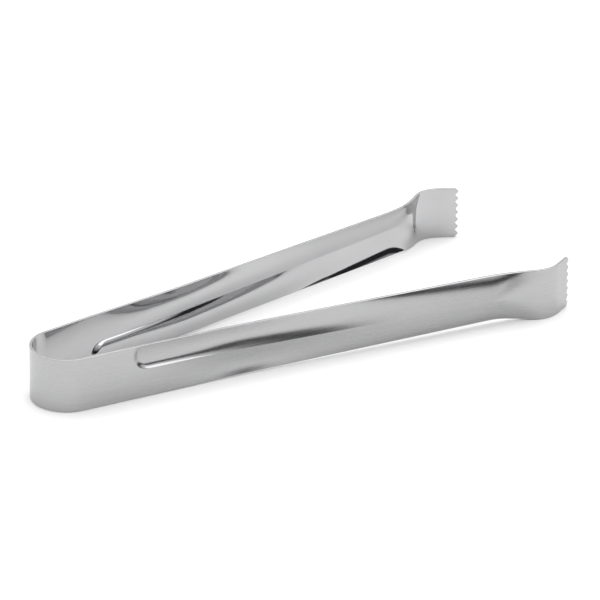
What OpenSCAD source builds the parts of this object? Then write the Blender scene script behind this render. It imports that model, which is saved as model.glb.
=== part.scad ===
// Ice tongs made from one springy strip of stainless steel, bent on edge into a U bow.
// X runs from the bow to the jaws, Y across the two arms and Z across the strip's width.
// The strip rests on its lower edge, so z = 0 is the table.
// The steel flexes over the bow and the two flat straps beside it. Each flexing stretch is cut
// into short stiff solids whose ends are round about a vertical hinge line.

/* [Strip] */
// Thickness of the sheet
strip_t = 0.9; // [0.7:0.05:1.1]
// Width of the strip round the bow and the straps
strip_w = 17.8; // [16:0.1:20]
// Width left where the fluted arm meets the jaw
arm_end_w = 15.5; // [14:0.1:17]
// Width of the toothed jaw
jaw_w = 17.3; // [16:0.1:20]

/* [Bow and arms] */
// Radius of the bow, to the middle of the sheet
bow_r = 11.2; // [9:0.1:13]
// Angle of each arm to the centre line as it leaves the bow
arm_angle = 5.7; // [4:0.1:8]
// Extra outward set of the arm, a little way along the flutes
set_angle = 3.2; // [0:0.1:4]
// Length along the strip where that set starts, from the middle of the bow
set_start = 54; // [50:1:60]
// Length over which the arm takes its set
set_length = 16; // [10:1:20]

/* [Flutes] */
// Length along the strip to the flat end of the strap, from the middle of the bow
strap_end = 30; // [26:0.5:32]
// Length along the strip to the tip of the flutes
flute_start = 33.1; // [33:0.1:36]
// How far the rounded start of a flute reaches along the strip
flute_round = 5.5; // [3:0.1:8]
// Depth of each of the two flutes near its start
flute_depth = 1.2; // [0.5:0.1:1.5]
// Share of that depth that is left along the front half of the arm
front_share = 0.4; // [0.3:0.05:1]
// How far the strip's edges turn inwards at the jaw end of the arm
edge_turn = 2.2; // [0:0.1:2.5]
// How far the ridge lies from the middle of the strip, on the deep flute's side, at its start
ridge_high = 0.65; // [0:0.05:1]
// How far it lies on the other side of the middle where the jaw starts to flare
ridge_low = 0.35; // [0:0.05:1]

/* [Jaw] */
// Length along the strip where the jaw starts to flare outwards
flare_start = 161.5; // [150:0.5:170]
// Length of the outward bend
flare_length = 10; // [8:0.5:16]
// Angle of the outward bend
flare_angle = 16; // [10:1:34]
// Length of the bend that curls the jaw back inwards
curl_length = 9.5; // [6:0.5:12]
// Angle of the inward curl
curl_angle = 52.8; // [40:0.1:70]
// Length of the flat toothed plate
plate_length = 6.8; // [5:0.1:9]
// Number of teeth across the jaw
tooth_count = 7; // [5:1:9]
// Depth of the teeth
tooth_depth = 1.1; // [0.6:0.1:1.6]

/* [Hinge lines] */
// Radial play between a round strip end and the hollow end that it turns in
seam_play = 0.05; // [0.03:0.01:0.1]

/* [Hidden] */

satin = [0.78, 0.78, 0.80];
flexing = [0.70, 0.72, 0.76];
fluted = [0.83, 0.83, 0.84];

round_fn = 96;
seam_r = strip_t / 2 + seam_play;

// Arc lengths from the middle of the bow to the hinge lines and to the ends of the zones.
crown_end = bow_r * PI / 4;
bow_end = bow_r * (90 - arm_angle) * PI / 180;
plate_start = flare_start + flare_length + curl_length;
strip_end = plate_start + plate_length;

// The left half of the strip seen from above, as pieces of [length, turn in degrees].
set_end = set_start + set_length;
route = [[bow_end, arm_angle - 90],
         [set_start - bow_end, 0],
         [set_length, set_angle],
         [flare_start - set_end, 0],
         [flare_length, flare_angle],
         [curl_length, -curl_angle],
         [plate_length, 0]];

// A pose is [x, y, heading]. Walks one piece of the route, straight or an arc.
function walk(pose, length, turn) =
    abs(turn) < 0.001
    ? [pose[0] + length * cos(pose[2]), pose[1] + length * sin(pose[2]), pose[2]]
    : let (r = length / turn * 180 / PI, h = pose[2] + turn)
      [pose[0] + r * (sin(h) - sin(pose[2])), pose[1] - r * (cos(h) - cos(pose[2])), h];

// Pose of the strip's middle at arc length s from the middle of the bow.
function pose_at(s, piece = 0, pose = [-bow_r, 0, 90]) =
    let (length = route[piece][0], turn = route[piece][1])
    s <= length || piece == len(route) - 1
    ? walk(pose, s, turn * s / length)
    : pose_at(s - length, piece + 1, walk(pose, length, turn));

// The origin is at the middle of the whole object's footprint.
tip_pose = pose_at(strip_end);
x_high = tip_pose[0] + strip_t / 2 * abs(sin(tip_pose[2]));
x_low = -bow_r - strip_t / 2;
x_shift = -(x_high + x_low) / 2;

function smooth(x) = let (c = min(1, max(0, x))) c * c * (3 - 2 * c);

// Width of the strip along the arm and the flare, and the height of its lower edge.
widen_start = flare_start - 3;
widen_length = 17;
function width_at(s) =
    let (taper = min(1, max(0, (s - strap_end) / (widen_start - strap_end))),
         arm = strip_w + (arm_end_w - strip_w) * taper)
    arm + (jaw_w - arm) * smooth((s - widen_start) / widen_length);
function foot_at(s) =
    (strip_w - width_at(s)) / 2 * (1 - smooth((s - widen_start) / widen_length));

// Height of the ridge, which runs a little askew along the arm. deep is 1 on an arm whose
// deep flute is the upper one and -1 where it is the lower one.
function ridge_at(s, deep) =
    let (along = min(1, max(0, (s - flute_start) / (flare_start - flute_start))))
    foot_at(s) + width_at(s) / 2 + deep * (ridge_high - (ridge_high + ridge_low) * along);

// The arm has two flutes, one on each side of the ridge. a is 0 on the ridge and 1 on the
// strip's edge. The deep flute starts in a rounded wall, the other one fades in from the flat
// strap, and both run out in a fan. Both arms are pressed alike in the flat strip, so the bow
// brings one arm's deep flute to the top and the other's to the bottom. Along the arm their
// shape changes from steep beside the ridge to evenly hollow, and the edges turn inwards.
round_at = 0.62;
deep_wall = 2.6;
fading_wall = 45;
end_wall = 11;
ridge_end = 167;
edge_end = 176.5;
ridge_soft = 0.10;
hollow_start = 40;
hollow_length = 34;
ease_start = 66;
ease_length = 62;
turn_full = 157;
turn_end = 179;
function round_in(a) =
    let (k = min(1, abs(a - round_at) / round_at))
    flute_start + flute_round * (1 - sqrt(1 - k * k));
function run_out(a) = ridge_end + (edge_end - ridge_end) * a;
function steep(a) = (1 - exp(-a / ridge_soft)) * (1 - a * a * a);
function hollow(a) = sin(180 * a);
function flute(s, a, wall) =
    let (q = smooth((s - hollow_start) / hollow_length),
         eased = 1 - (1 - front_share) * smooth((s - ease_start) / ease_length))
    flute_depth * eased * ((1 - q) * steep(a) + q * hollow(a))
    * smooth((s - round_in(a)) / wall)
    * smooth((run_out(a) - s) / end_wall);
function edge_in(s, a) =
    let (share = min(1, max(0, (s - set_start) / (turn_full - set_start))))
    edge_turn * share * a * a * a * smooth((turn_end - s) / (turn_end - turn_full));
function sunk(s, a, wall) = flute(s, a, wall) + edge_in(s, a);

// One closed ring of the fluted sheet: up the outer face and down the inner face.
across = 20;
function height_on(s, i, deep) =
    let (low = foot_at(s), ridge = ridge_at(s, deep), v = 2 * i / across)
    v < 1 ? low + (ridge - low) * v : ridge + (low + width_at(s) - ridge) * (v - 1);
function ring(s, deep) =
    let (p = pose_at(s), nx = -sin(p[2]), ny = cos(p[2]))
    [for (side = [0, 1], j = [0 : across])
        let (i = side == 0 ? j : across - j,
             v = 2 * i / across - 1,
             wall = v * deep < 0 ? fading_wall : deep_wall,
             off = (side == 0 ? 0.5 : -0.5) * strip_t - sunk(s, abs(v), wall))
        [p[0] + off * nx, p[1] + off * ny, height_on(s, i, deep)]];

// Sweeps the rings at the given arc lengths into one closed solid.
module fluted_sheet(stations, deep) {
    n = 2 * (across + 1);
    last = (len(stations) - 1) * n;
    points = [for (s = stations) each ring(s, deep)];
    skin = [for (k = [0 : len(stations) - 2], i = [0 : n - 1])
            let (a = k * n + i, b = k * n + (i + 1) % n)
            each [[a, a + n, b], [b, a + n, b + n]]];
    caps = [for (i = [0 : across - 1])
            let (j = n - 1 - i)
            each [[i, i + 1, j], [i + 1, j - 1, j],
                  [last + i + 1, last + i, last + j], [last + j - 1, last + i + 1, last + j]]];
    polyhedron(points = points, faces = concat(skin, caps), convexity = 6);
}

function steps(from, to, count) = [for (i = [0 : count]) from + (to - from) * i / count];

// Sector of the bow's ring between two polar angles less than 90 degrees apart.
module bow_sector(from, to) {
    reach = 2 * bow_r;
    intersection() {
        difference() {
            circle(r = bow_r + strip_t / 2, $fn = round_fn);
            circle(r = bow_r - strip_t / 2, $fn = round_fn);
        }
        polygon([[0, 0],
                 [reach * cos(from), reach * sin(from)],
                 [reach * cos((from + to) / 2), reach * sin((from + to) / 2)],
                 [reach * cos(to), reach * sin(to)]]);
    }
}

// Flat stretch of the strip between two arc lengths, seen from above.
module flat_run(from, to) {
    p = pose_at(from);
    translate([p[0], p[1]])
        rotate(p[2])
            translate([0, -strip_t / 2])
                square([to - from, strip_t]);
}

// Round end at a hinge line, or with play the hollow that it turns in.
module seam(s, r) {
    p = pose_at(s);
    translate([p[0], p[1]])
        circle(r = r, $fn = 48);
}

module raise() {
    linear_extrude(height = strip_w)
        children();
}

module bow_crown() {
    color(flexing)
        raise()
            difference() {
                union() {
                    bow_sector(135, 180);
                    bow_sector(180, 225);
                }
                seam(crown_end, seam_r);
                mirror([0, 1]) seam(crown_end, seam_r);
            }
}

module bow_side() {
    color(flexing)
        raise()
            difference() {
                union() {
                    bow_sector(90 + arm_angle, 135);
                    seam(crown_end, strip_t / 2);
                }
                seam(bow_end, seam_r);
            }
}

module strap() {
    color(flexing)
        raise()
            difference() {
                union() {
                    flat_run(bow_end, strap_end);
                    seam(bow_end, strip_t / 2);
                }
                seam(strap_end, seam_r);
            }
}

module arm_root() {
    color(satin)
        raise() {
            flat_run(strap_end, flute_start);
            seam(strap_end, strip_t / 2);
        }
}

module arm(deep) {
    color(fluted)
        fluted_sheet(concat(steps(flute_start, flute_start + 10, 16),
                            steps(flute_start + 13, flare_start, 24)), deep);
}

module flare(deep) {
    color(satin)
        fluted_sheet(steps(flare_start, plate_start, 24), deep);
}

// Flat plate whose end is cut into triangular teeth across the whole width.
module jaw() {
    p = pose_at(plate_start);
    pitch = jaw_w / tooth_count;
    root = plate_length - tooth_depth;
    outline = concat([[0, 0]],
                     [for (i = [0 : tooth_count - 1])
                         each [[root, i * pitch], [plate_length, (i + 0.5) * pitch]]],
                     [[root, jaw_w], [0, jaw_w]]);
    color(satin)
        translate([p[0], p[1], 0])
            rotate([90, 0, p[2]])
                translate([0, 0, -strip_t / 2])
                    linear_extrude(height = strip_t)
                        polygon(outline);
}

module left() {
    translate([x_shift, 0, 0])
        children();
}

module right() {
    translate([x_shift, 0, 0])
        mirror([0, 1, 0])
            children();
}

left() bow_crown();
left() bow_side();  // left_bow_side
left() strap();  // left_strap
left() arm_root();  // left_arm_root
left() arm(-1);  // left_arm
left() flare(-1);  // left_flare
left() jaw();  // left_jaw
right() bow_side();  // right_bow_side
right() strap();  // right_strap
right() arm_root();  // right_arm_root
right() arm(1);  // right_arm
right() flare(1);  // right_flare
right() jaw();  // right_jaw
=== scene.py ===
import math

import bpy
import numpy as np
from mathutils import Matrix, Vector


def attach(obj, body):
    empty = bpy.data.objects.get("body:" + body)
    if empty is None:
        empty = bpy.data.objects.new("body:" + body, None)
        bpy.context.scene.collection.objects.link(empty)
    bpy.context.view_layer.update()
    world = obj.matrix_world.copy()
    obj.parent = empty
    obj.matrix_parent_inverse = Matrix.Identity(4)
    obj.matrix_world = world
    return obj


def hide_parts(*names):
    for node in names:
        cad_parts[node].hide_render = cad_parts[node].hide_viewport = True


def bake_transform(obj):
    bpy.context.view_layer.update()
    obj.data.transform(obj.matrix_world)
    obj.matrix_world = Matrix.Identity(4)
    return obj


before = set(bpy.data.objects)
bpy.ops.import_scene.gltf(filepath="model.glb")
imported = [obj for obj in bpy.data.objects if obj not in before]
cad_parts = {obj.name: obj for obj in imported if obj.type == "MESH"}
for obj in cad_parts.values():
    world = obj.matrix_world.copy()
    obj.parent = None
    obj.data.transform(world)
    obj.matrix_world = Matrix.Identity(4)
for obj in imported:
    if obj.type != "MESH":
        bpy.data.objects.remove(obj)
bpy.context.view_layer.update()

# ---------------------------------------------------------------- the strip, in millimetres
STRIP_T = 0.9
STRIP_W = 17.8
ARM_END_W = 15.5
JAW_W = 17.3
BOW_R = 11.2
ARM_ANGLE = 5.7
SET_ANGLE = 3.2
SET_START = 54.0
SET_LENGTH = 16.0
STRAP_END = 30.0
FLUTE_START = 33.1
FLUTE_ROUND = 5.5
FLUTE_DEPTH = 1.2
FRONT_SHARE = 0.4
EDGE_TURN = 2.2
RIDGE_HIGH = 0.65
RIDGE_LOW = 0.35
FLARE_START = 161.5
FLARE_LENGTH = 10.0
FLARE_ANGLE = 16.0
CURL_LENGTH = 9.5
CURL_ANGLE = 52.8
PLATE_LENGTH = 6.8
TOOTH_COUNT = 7
TOOTH_DEPTH = 1.1
ROUND_AT = 0.62
DEEP_WALL = 2.6
FADING_WALL = 45.0
END_WALL = 11.0
RIDGE_END = 167.0
EDGE_END = 176.5
RIDGE_SOFT = 0.10
HOLLOW_START = 40.0
HOLLOW_LENGTH = 34.0
EASE_START = 66.0
EASE_LENGTH = 62.0
TURN_FULL = 157.0
TURN_END = 179.0
EDGE_ROUND = 0.16
END_ROUND = 0.12

CROWN_END = BOW_R * math.pi / 4
BOW_END = BOW_R * math.radians(90 - ARM_ANGLE)
SET_END = SET_START + SET_LENGTH
PLATE_START = FLARE_START + FLARE_LENGTH + CURL_LENGTH
STRIP_END = PLATE_START + PLATE_LENGTH
WIDEN_START = FLARE_START - 3
WIDEN_LENGTH = 17.0

# [length, turn in degrees] of each piece of the left half, from the middle of the bow
ROUTE = [(BOW_END, ARM_ANGLE - 90),
         (SET_START - BOW_END, 0.0),
         (SET_LENGTH, SET_ANGLE),
         (FLARE_START - SET_END, 0.0),
         (FLARE_LENGTH, FLARE_ANGLE),
         (CURL_LENGTH, -CURL_ANGLE),
         (PLATE_LENGTH, 0.0)]


def pose_at(s):
    """x, y and heading of the middle of the sheet at arc length s."""
    x, y, heading = -BOW_R, 0.0, math.pi / 2
    for i, (length, turn) in enumerate(ROUTE):
        step = s if (s <= length or i == len(ROUTE) - 1) else length
        bend = math.radians(turn) * step / length
        if abs(bend) < 1e-12:
            x += step * math.cos(heading)
            y += step * math.sin(heading)
        else:
            r = step / bend
            x += r * (math.sin(heading + bend) - math.sin(heading))
            y -= r * (math.cos(heading + bend) - math.cos(heading))
        heading += bend
        if step == s:
            break
        s -= length
    return x, y, heading


tip_x, tip_y, tip_heading = pose_at(STRIP_END)
X_SHIFT = -((tip_x + STRIP_T / 2 * abs(math.sin(tip_heading))) - BOW_R - STRIP_T / 2) / 2


def smooth(x):
    c = np.clip(x, 0.0, 1.0)
    return c * c * (3 - 2 * c)


def width_at(s):
    taper = np.clip((s - STRAP_END) / (WIDEN_START - STRAP_END), 0.0, 1.0)
    arm = STRIP_W + (ARM_END_W - STRIP_W) * taper
    return arm + (JAW_W - arm) * smooth((s - WIDEN_START) / WIDEN_LENGTH)


def foot_at(s):
    return (STRIP_W - width_at(s)) / 2 * (1 - smooth((s - WIDEN_START) / WIDEN_LENGTH))


def ridge_at(s, deep):
    """Height of the ridge. deep is 1 where the deep flute is the upper one, else -1."""
    along = np.clip((s - FLUTE_START) / (FLARE_START - FLUTE_START), 0.0, 1.0)
    return foot_at(s) + width_at(s) / 2 + deep * (RIDGE_HIGH - (RIDGE_HIGH + RIDGE_LOW) * along)


def sunk(s, a, wall):
    """How far the sheet is pressed in at arc length s; a is 0 on the ridge and 1 on the edge."""
    k = np.minimum(1.0, np.abs(a - ROUND_AT) / ROUND_AT)
    start = FLUTE_START + FLUTE_ROUND * (1 - np.sqrt(1 - k * k))
    end = RIDGE_END + (EDGE_END - RIDGE_END) * a
    steep = (1 - np.exp(-a / RIDGE_SOFT)) * (1 - a ** 3)
    q = smooth((s - HOLLOW_START) / HOLLOW_LENGTH)
    eased = 1 - (1 - FRONT_SHARE) * smooth((s - EASE_START) / EASE_LENGTH)
    flute = FLUTE_DEPTH * eased * ((1 - q) * steep + q * np.sin(np.pi * a))
    flute = flute * smooth((s - start) / wall) * smooth((end - s) / END_WALL)
    share = np.clip((s - SET_START) / (TURN_FULL - SET_START), 0.0, 1.0)
    edge_in = EDGE_TURN * share * a ** 3 * smooth((TURN_END - s) / (TURN_END - TURN_FULL))
    return flute + edge_in


# One ring of the sheet: up the outer face, over the top edge, down the inner face, under the foot.
HALF = 40
ROUND_STEPS = 5
uniform = np.linspace(0, 1, HALF + 1)
spread = uniform - 0.8 * np.sin(2 * np.pi * uniform) / (2 * np.pi)
FACE = np.concatenate([-spread[::-1], spread[1:]])
QUARTER = np.linspace(0, math.pi / 2, ROUND_STEPS + 1)[1:]


def ring_plan(face):
    """Rows of face position in -1..1, side (+1 outer, -1 inner), and rounding outward and upward."""
    rows = []
    for side in (1, -1):
        rows += [(f * side, side, 1.0, 0.0) for f in face]
        rows += [(side, side, math.cos(q), math.sin(q)) for q in QUARTER]
        rows += [(side, -side, math.cos(q), math.sin(q)) for q in QUARTER[::-1]]
    return np.array(rows)


PLAN = ring_plan(FACE)


def rings(stations, deep, plan=PLAN, lean=None, inset=0.0):
    """Points of the rings in millimetres, shape (stations, ring, 3), and their arc lengths."""
    s = np.asarray(stations, float)[:, None]
    inset = np.broadcast_to(inset, (len(stations),))[:, None]
    face, side, out, up = plan.T
    low, high, ridge = foot_at(s), foot_at(s) + width_at(s), ridge_at(s, deep)
    half_w = np.where(face > 0, high - ridge, ridge - low)
    z = ridge + face * (half_w - EDGE_ROUND - inset) + np.sign(face) * up * EDGE_ROUND
    along = np.broadcast_to(s, z.shape) if lean is None else lean(s, z)
    a = np.minimum(1.0, np.abs(z - ridge) / half_w)
    wall = np.where((z - ridge) * deep < 0, FADING_WALL, DEEP_WALL)
    off = side * (STRIP_T / 2 - EDGE_ROUND - inset + out * EDGE_ROUND) - sunk(along, a, wall)
    if lean is None:
        pose = np.array([pose_at(v) for v in s[:, 0]])[:, None, :]
        x, y, heading = pose[..., 0], pose[..., 1], pose[..., 2]
    else:
        x, y, heading = pose_at(PLATE_START)
        x = x + (along - PLATE_START) * math.cos(heading)
        y = y + (along - PLATE_START) * math.sin(heading)
    points = np.stack([x - off * np.sin(heading) + X_SHIFT, y + off * np.cos(heading), z], axis=2)
    return points, along


def surface_normals(points):
    """Outward normals of a grid of rings, from differences along it and round it."""
    round_it = np.roll(points, -1, axis=1) - np.roll(points, 1, axis=1)
    along = np.empty_like(points)
    along[1:-1] = points[2:] - points[:-2]
    along[0] = points[1] - points[0]
    along[-1] = points[-1] - points[-2]
    n = np.cross(round_it, along)
    return n / np.linalg.norm(n, axis=2, keepdims=True)


def girth_of(points):
    """Distance round each ring from its first point, in millimetres, back to that point."""
    gap = np.linalg.norm(np.roll(points, -1, axis=1) - points, axis=2)
    return np.concatenate([np.zeros((len(points), 1)), np.cumsum(gap, axis=1)], axis=1)


def build(name, points, along, normals, mirrored, plan=PLAN):
    """A closed mesh of one stretch of the strip. Its ends are capped."""
    count, n = points.shape[:2]
    girth = girth_of(points)
    flip = np.array([1.0, -1.0, 1.0]) if mirrored else np.ones(3)
    turn = -1 if mirrored else 1
    k, i = np.meshgrid(np.arange(count - 1), np.arange(n), indexing="ij")
    j = (i + 1) % n
    quads = np.stack([k * n + i, k * n + j, (k + 1) * n + j, (k + 1) * n + i], axis=2).reshape(-1, 4)
    uv_s = [along[k, i], along[k, j], along[k + 1, j], along[k + 1, i]]
    uv_s = np.stack(uv_s, axis=2).reshape(-1, 4)
    uv_g = [girth[k, i], girth[k, i + 1], girth[k + 1, i + 1], girth[k + 1, i]]
    uv_g = np.stack(uv_g, axis=2).reshape(-1, 4)
    kind = np.where(plan[i, 2] * plan[j, 2] < 0.999, 2, np.where(plan[i, 1] > 0, 0, 1)).reshape(-1)
    # Each cap is a ladder from the top of the ring to its foot, between the outer and the inner half.
    top = n // 2 - ROUND_STEPS - 1
    rung = np.arange(n // 2 - 1)
    cap = np.stack([top - rung, top + 1 + rung, top + 2 + rung, top - 1 - rung], axis=1) % n
    faces = np.concatenate([quads, cap[:, ::-1], cap + (count - 1) * n])[:, ::turn]
    uv_s = np.concatenate([uv_s, np.full((2 * len(cap), 4), along.min())])[:, ::turn]
    uv_g = np.concatenate([uv_g, girth[0][cap[:, ::-1]], girth[-1][cap]])[:, ::turn]
    kind = np.concatenate([kind, np.full(2 * len(cap), 2)])
    mesh = bpy.data.meshes.new(name)
    mesh.vertices.add(count * n)
    mesh.vertices.foreach_set("co", (points * flip * 0.001).astype(np.float32).ravel())
    mesh.loops.add(faces.size)
    mesh.loops.foreach_set("vertex_index", faces.astype(np.int32).ravel())
    mesh.polygons.add(len(faces))
    mesh.polygons.foreach_set("loop_start", np.arange(0, faces.size, 4, dtype=np.int32))
    mesh.polygons.foreach_set("material_index", kind.astype(np.int32))
    mesh.update(calc_edges=True)
    uv = mesh.uv_layers.new(name="strip")
    pairs = np.stack([uv_s.ravel(), uv_g.ravel()], axis=1) * 0.001
    uv.data.foreach_set("uv", pairs.astype(np.float32).ravel())
    for material in STEEL:
        mesh.materials.append(material)
    if normals is None:
        mesh.set_sharp_from_angle(angle=math.radians(40))
    else:
        ends = np.zeros(len(mesh.edges) * 2, np.int32)
        mesh.edges.foreach_get("vertices", ends)
        ring_of = ends.reshape(-1, 2) // n
        same = ring_of[:, 0] == ring_of[:, 1]
        sharp = same & ((ring_of[:, 0] == 0) | (ring_of[:, 0] == count - 1))
        mesh.attributes.new("sharp_edge", "BOOLEAN", "EDGE").data.foreach_set("value", sharp)
        loops = (normals * flip).reshape(-1, 3)[faces.ravel()]
        flat = np.zeros(len(faces) * 3, np.float32)
        mesh.polygons.foreach_get("normal", flat)
        loops[len(quads) * 4:] = np.repeat(flat.reshape(-1, 3)[len(quads):], 4, axis=0)
        mesh.normals_split_custom_set(loops.tolist())
    obj = bpy.data.objects.new(name, mesh)
    bpy.context.scene.collection.objects.link(obj)
    return obj


# ---------------------------------------------------------------- materials
def nodes_of(name):
    mat = bpy.data.materials.new(name)
    mat.use_nodes = True
    tree = mat.node_tree
    return mat, tree, tree.nodes["Principled BSDF"]


def add(tree, kind, **sockets):
    node = tree.nodes.new(kind)
    for key, value in sockets.items():
        node.inputs[key].default_value = value
    return node


def strip_vector(tree, per_m_along, per_m_across):
    """Coordinates that run along and round the strip, at so many repeats a metre."""
    uv = tree.nodes.new("ShaderNodeUVMap")
    uv.uv_map = "strip"
    mapping = add(tree, "ShaderNodeMapping", Scale=(per_m_along, per_m_across, 1.0))
    tree.links.new(uv.outputs["UV"], mapping.inputs["Vector"])
    return mapping.outputs["Vector"]


def noise(tree, vector, scale=1.0, detail=2.0, roughness=0.5):
    node = add(tree, "ShaderNodeTexNoise", Scale=scale, Detail=detail, Roughness=roughness)
    tree.links.new(vector, node.inputs["Vector"])
    return node.outputs["Fac"]


def remap(tree, value, low, high, to_low, to_high):
    node = tree.nodes.new("ShaderNodeMapRange")
    node.inputs["From Min"].default_value = low
    node.inputs["From Max"].default_value = high
    node.inputs["To Min"].default_value = to_low
    node.inputs["To Max"].default_value = to_high
    tree.links.new(value, node.inputs["Value"])
    return node.outputs["Result"]


def math_node(tree, operation, a, b):
    node = tree.nodes.new("ShaderNodeMath")
    node.operation = operation
    for socket, value in zip(node.inputs, (a, b)):
        if isinstance(value, float):
            socket.default_value = value
        else:
            tree.links.new(value, socket)
    return node.outputs["Value"]


def mix_colour(tree, fac, a, b):
    node = tree.nodes.new("ShaderNodeMix")
    node.data_type = "RGBA"
    node.inputs[6].default_value = (*a, 1.0)
    node.inputs[7].default_value = (*b, 1.0)
    tree.links.new(fac, node.inputs[0])
    return node.outputs[2]


def bump(tree, shader, height, distance, strength):
    node = tree.nodes.new("ShaderNodeBump")
    node.inputs["Distance"].default_value = distance
    node.inputs["Strength"].default_value = strength
    tree.links.new(height, node.inputs["Height"])
    tree.links.new(node.outputs["Normal"], shader.inputs["Normal"])


def tangent(tree, shader):
    node = tree.nodes.new("ShaderNodeTangent")
    node.direction_type = "UV_MAP"
    node.uv_map = "strip"
    tree.links.new(node.outputs["Tangent"], shader.inputs["Tangent"])


def satin_steel():
    """Outer face: fine brushing along the strip."""
    mat, tree, shader = nodes_of("satin_steel")
    shader.inputs["Metallic"].default_value = 1.0
    shader.inputs["Anisotropic"].default_value = 0.55
    fine = noise(tree, strip_vector(tree, 60.0, 11000.0), detail=3.0)
    broad = noise(tree, strip_vector(tree, 25.0, 2600.0), detail=2.0)
    cloud = noise(tree, strip_vector(tree, 45.0, 90.0), detail=3.0)
    grain = math_node(tree, "ADD", math_node(tree, "MULTIPLY", fine, 0.6),
                      math_node(tree, "MULTIPLY", broad, 0.4))
    share = remap(tree, grain, 0.3, 0.7, 0.0, 1.0)
    colour = mix_colour(tree, share, (0.40, 0.40, 0.403), (0.44, 0.44, 0.443))
    tree.links.new(colour, shader.inputs["Base Color"])
    rough = math_node(tree, "ADD", remap(tree, grain, 0.3, 0.7, 0.22, 0.30),
                      remap(tree, cloud, 0.3, 0.7, -0.02, 0.03))
    tree.links.new(rough, shader.inputs["Roughness"])
    bump(tree, shader, grain, 0.00002, 0.25)
    tangent(tree, shader)
    return mat


def polished_steel():
    """Inner face: mirror polish with faint hairlines."""
    mat, tree, shader = nodes_of("polished_steel")
    shader.inputs["Metallic"].default_value = 1.0
    cloud = noise(tree, strip_vector(tree, 60.0, 120.0), detail=4.0)
    hair = noise(tree, strip_vector(tree, 90.0, 5200.0), detail=2.0)
    lines = remap(tree, hair, 0.62, 0.72, 0.0, 1.0)
    colour = mix_colour(tree, cloud, (0.42, 0.42, 0.424), (0.47, 0.47, 0.474))
    tree.links.new(colour, shader.inputs["Base Color"])
    rough = math_node(tree, "ADD", remap(tree, cloud, 0.3, 0.7, 0.045, 0.085),
                      math_node(tree, "MULTIPLY", lines, 0.05))
    tree.links.new(rough, shader.inputs["Roughness"])
    bump(tree, shader, hair, 0.000004, 0.2)
    return mat


def sheared_steel():
    """Edges of the sheet: tumbled after blanking, with faint marks across the edge."""
    mat, tree, shader = nodes_of("sheared_steel")
    shader.inputs["Metallic"].default_value = 1.0
    marks = noise(tree, strip_vector(tree, 5200.0, 300.0), detail=2.0)
    wear = noise(tree, strip_vector(tree, 130.0, 400.0), detail=3.0)
    colour = mix_colour(tree, wear, (0.42, 0.42, 0.424), (0.52, 0.52, 0.524))
    tree.links.new(colour, shader.inputs["Base Color"])
    rough = math_node(tree, "ADD", remap(tree, marks, 0.3, 0.7, 0.16, 0.26),
                      remap(tree, wear, 0.3, 0.7, -0.03, 0.04))
    tree.links.new(rough, shader.inputs["Roughness"])
    bump(tree, shader, marks, 0.000008, 0.25)
    return mat


STEEL = [satin_steel(), polished_steel(), sheared_steel()]

# ---------------------------------------------------------------- the skins
# Arc lengths where the skins that blend across the three hinge lines start and end.
A_START = CROWN_END / 2
A_END = (CROWN_END + BOW_END) / 2
FLEX_REACH = 28.0
B_END = (BOW_END + FLEX_REACH) / 2
C_END = FLUTE_START


def spaced(start, end, step):
    return list(np.linspace(start, end, max(2, int(round((end - start) / step)) + 1)))


def joined(*runs):
    out = list(runs[0])
    for run in runs[1:]:
        out += run[1:]
    return out


ALL = joined(spaced(0, A_START, 0.28),
             spaced(A_START, A_END, 0.28),
             spaced(A_END, BOW_END, 0.28),
             spaced(BOW_END, B_END, 0.4),
             spaced(B_END, C_END, 0.4),
             spaced(C_END, 48, 0.14),
             spaced(48, 150, 0.6),
             spaced(150, FLARE_START, 0.3),
             spaced(FLARE_START, PLATE_START, 0.18))
ALL = np.array(ALL)
GRIDS = {}
for deep in (1, -1):
    grid, grid_s = rings(ALL, deep)
    GRIDS[deep] = (grid, grid_s, surface_normals(grid))


def cut(start, end, deep):
    lo = int(np.argmin(np.abs(ALL - start)))
    hi = int(np.argmin(np.abs(ALL - end)))
    return [rows[lo:hi + 1] for rows in GRIDS[deep]]


def point_at(s, y_sign):
    x, y, heading = pose_at(s)
    return ((x + X_SHIFT) * 0.001, y * 0.001 * y_sign, STRIP_W * 0.0005)


def crown():
    """The middle of the bow, from one side to the other."""
    flip = np.array([1.0, -1.0, 1.0])
    last = int(np.argmin(np.abs(ALL - A_START)))
    grid, grid_s, _ = GRIDS[1]
    points = np.concatenate([(grid * flip)[last + 1:0:-1], grid[:last + 2]])
    along = np.concatenate([-grid_s[last + 1:0:-1], grid_s[:last + 2]])
    normals = surface_normals(points)
    obj = build("bow_crown_skin", points[1:-1], along[1:-1], normals[1:-1], False)
    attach(obj, "bow")
    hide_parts("bow_crown")


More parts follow.
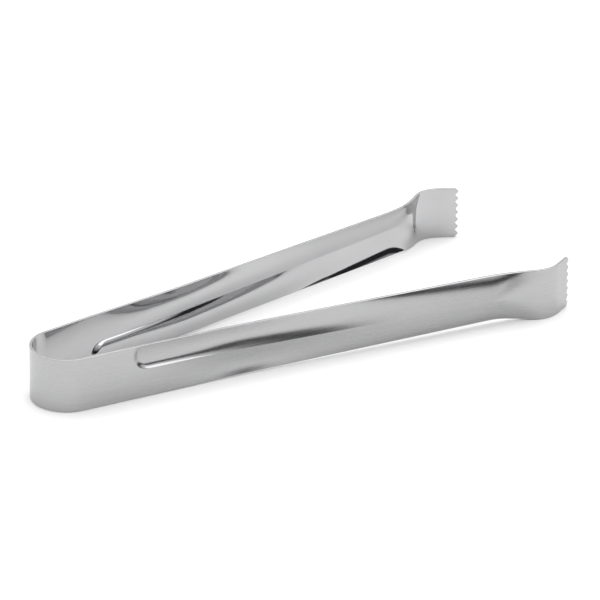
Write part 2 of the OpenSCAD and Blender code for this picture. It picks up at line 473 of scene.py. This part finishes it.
def jaw(name, mirrored, deep):
    """The flat plate with triangular teeth across its end. Its rings lean into the teeth."""
    def lean(s, z):
        place = np.clip(z / JAW_W, 0.0, 1.0) * TOOTH_COUNT
        root = STRIP_END - TOOTH_DEPTH * np.abs(2 * (place - np.floor(place)) - 1)
        share = np.minimum(1.0, (s - PLATE_START) / (PLATE_LENGTH - END_ROUND))
        past = np.maximum(0.0, s - (STRIP_END - END_ROUND))
        return PLATE_START + share * (root - END_ROUND - PLATE_START) + past
    heights = np.linspace(0, JAW_W, TOOTH_COUNT * 16 + 1)
    heights = heights[(heights > EDGE_ROUND + 0.05) & (heights < JAW_W - EDGE_ROUND - 0.05)]
    ridge = float(ridge_at(np.array(PLATE_START), deep))
    half_w = np.where(heights > ridge, JAW_W - ridge, ridge) - EDGE_ROUND
    face = np.concatenate([[-1.0], (heights - ridge) / half_w, [1.0]])
    turn = np.linspace(0, math.pi / 2, 5)[1:]
    stations = np.concatenate([np.linspace(PLATE_START, STRIP_END - END_ROUND, 36),
                               STRIP_END - END_ROUND * (1 - np.sin(turn))])
    inset = np.concatenate([np.zeros(36), END_ROUND * (1 - np.cos(turn))])
    plan = ring_plan(face)
    points, along = rings(stations, deep, plan, lean, inset)
    return build(name, points, along, None, mirrored, plan)


def side(prefix, mirrored):
    y_sign = -1.0 if mirrored else 1.0
    deep = 1 if mirrored else -1
    stretches = [("bow_side", A_START, A_END, "bow", prefix + "_bow_side", ["bow_side"]),
                 ("bend", A_END, B_END, prefix + "_bow_side", prefix + "_strap", ["strap"]),
                 ("strap", B_END, C_END, prefix + "_strap", prefix + "_arm", ["arm_root"])]
    for label, start, end, low, high, nodes in stretches:
        pts, along, nrm = cut(start, end, deep)
        obj = build(f"{prefix}_{label}_skin", pts, along, nrm, mirrored)
        point_at(start, y_sign)
        point_at(end, y_sign)
        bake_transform(obj)
        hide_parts(*[f"{prefix}_{n}" for n in nodes])
    for label, start, end in (("arm", C_END, FLARE_START), ("flare", FLARE_START, PLATE_START)):
        pts, along, nrm = cut(start, end, deep)
        obj = build(f"{prefix}_{label}_skin", pts, along, nrm, mirrored)
        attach(obj, prefix + "_arm")
        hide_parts(f"{prefix}_{label}")
    obj = jaw(f"{prefix}_jaw_skin", mirrored, deep)
    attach(obj, prefix + "_arm")
    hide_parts(f"{prefix}_jaw")


crown()
side("left", False)
side("right", True)


# ---------------------------------------------------------------- floor, light and camera
def floor():
    mesh = bpy.data.meshes.new("floor")
    reach = 3.0
    drop = -0.00005
    corners = [(x * reach, y * reach, drop) for x, y in ((-1, -1), (1, -1), (1, 1), (-1, 1))]
    mesh.from_pydata(corners, [], [(0, 1, 2, 3)])
    mat, tree, shader = nodes_of("floor_white")
    shader.inputs["Roughness"].default_value = 0.6
    shader.inputs["Base Color"].default_value = (0.9, 0.9, 0.9, 1.0)
    shader.inputs["Specular IOR Level"].default_value = 0.2
    mesh.materials.append(mat)
    obj = bpy.data.objects.new("floor", mesh)
    bpy.context.scene.collection.objects.link(obj)


def aim(obj, place, at):
    obj.location = place
    obj.rotation_mode = "QUATERNION"
    obj.rotation_quaternion = (Vector(at) - Vector(place)).to_track_quat("-Z", "Y")


def softbox(name, place, at, size_x, size_y, watts):
    data = bpy.data.lights.new(name, "AREA")
    data.shape = "RECTANGLE"
    data.size = size_x
    data.size_y = size_y
    data.energy = watts
    obj = bpy.data.objects.new(name, data)
    bpy.context.scene.collection.objects.link(obj)
    aim(obj, place, at)


def studio():
    """A room that is bright above, and dark low down in front and on the left."""
    world = bpy.data.worlds.new("studio")
    bpy.context.scene.world = world
    world.use_nodes = True
    tree = world.node_tree
    back = tree.nodes["Background"]
    coord = tree.nodes.new("ShaderNodeTexCoord")

    def toward(direction, low, high):
        """A share that rises from 0 to 1 as the view direction turns towards this one."""
        dot = tree.nodes.new("ShaderNodeVectorMath")
        dot.operation = "DOT_PRODUCT"
        dot.inputs[1].default_value = Vector(direction).normalized()
        tree.links.new(coord.outputs["Generated"], dot.inputs[0])
        return remap(tree, dot.outputs["Value"], low, high, 0.0, 1.0)

    low_down = toward((0, 0, -1), -0.42, -0.24)
    front = math_node(tree, "MULTIPLY", toward((0.15, -1, 0), 0.05, 0.35), low_down)
    left = math_node(tree, "MULTIPLY", toward((-1, -0.2, 0), 0.25, 0.7), 1.0)
    dark = math_node(tree, "MAXIMUM", front, left)
    colour = mix_colour(tree, dark, (0.95, 0.95, 0.96), (0.03, 0.03, 0.032))
    tree.links.new(colour, back.inputs["Color"])
    back.inputs["Strength"].default_value = 1.0


def camera():
    azimuth, elevation, distance = math.radians(-32.781), math.radians(25.833), 2.0596
    back = Vector((math.sin(azimuth) * math.cos(elevation),
                   -math.cos(azimuth) * math.cos(elevation),
                   math.sin(elevation)))
    right = Vector((math.cos(azimuth), math.sin(azimuth), 0))
    up = back.cross(right)
    target = Vector((0.0635 + X_SHIFT * 0.001, 0, STRIP_W * 0.0005))
    pan, tilt = 0.009059, 0.003225
    ahead = (-back + right * pan + up * tilt).normalized()
    side_way = ahead.cross(up).normalized()
    top = side_way.cross(ahead)
    data = bpy.data.cameras.new("camera")
    data.lens = 394.7
    data.sensor_width = 36
    data.clip_start = 0.05
    data.clip_end = 20
    obj = bpy.data.objects.new("camera", data)
    bpy.context.scene.collection.objects.link(obj)
    turn = Matrix((side_way, top, -ahead)).transposed()
    obj.matrix_world = Matrix.Translation(target + back * distance) @ turn.to_4x4()
    bpy.context.scene.camera = obj


floor()
studio()
softbox("overhead", (0.05, 0.1, 1.2), (0, 0, 0), 2.4, 2.4, 26.0)
camera()
bpy.context.scene.view_settings.view_transform = "Standard"
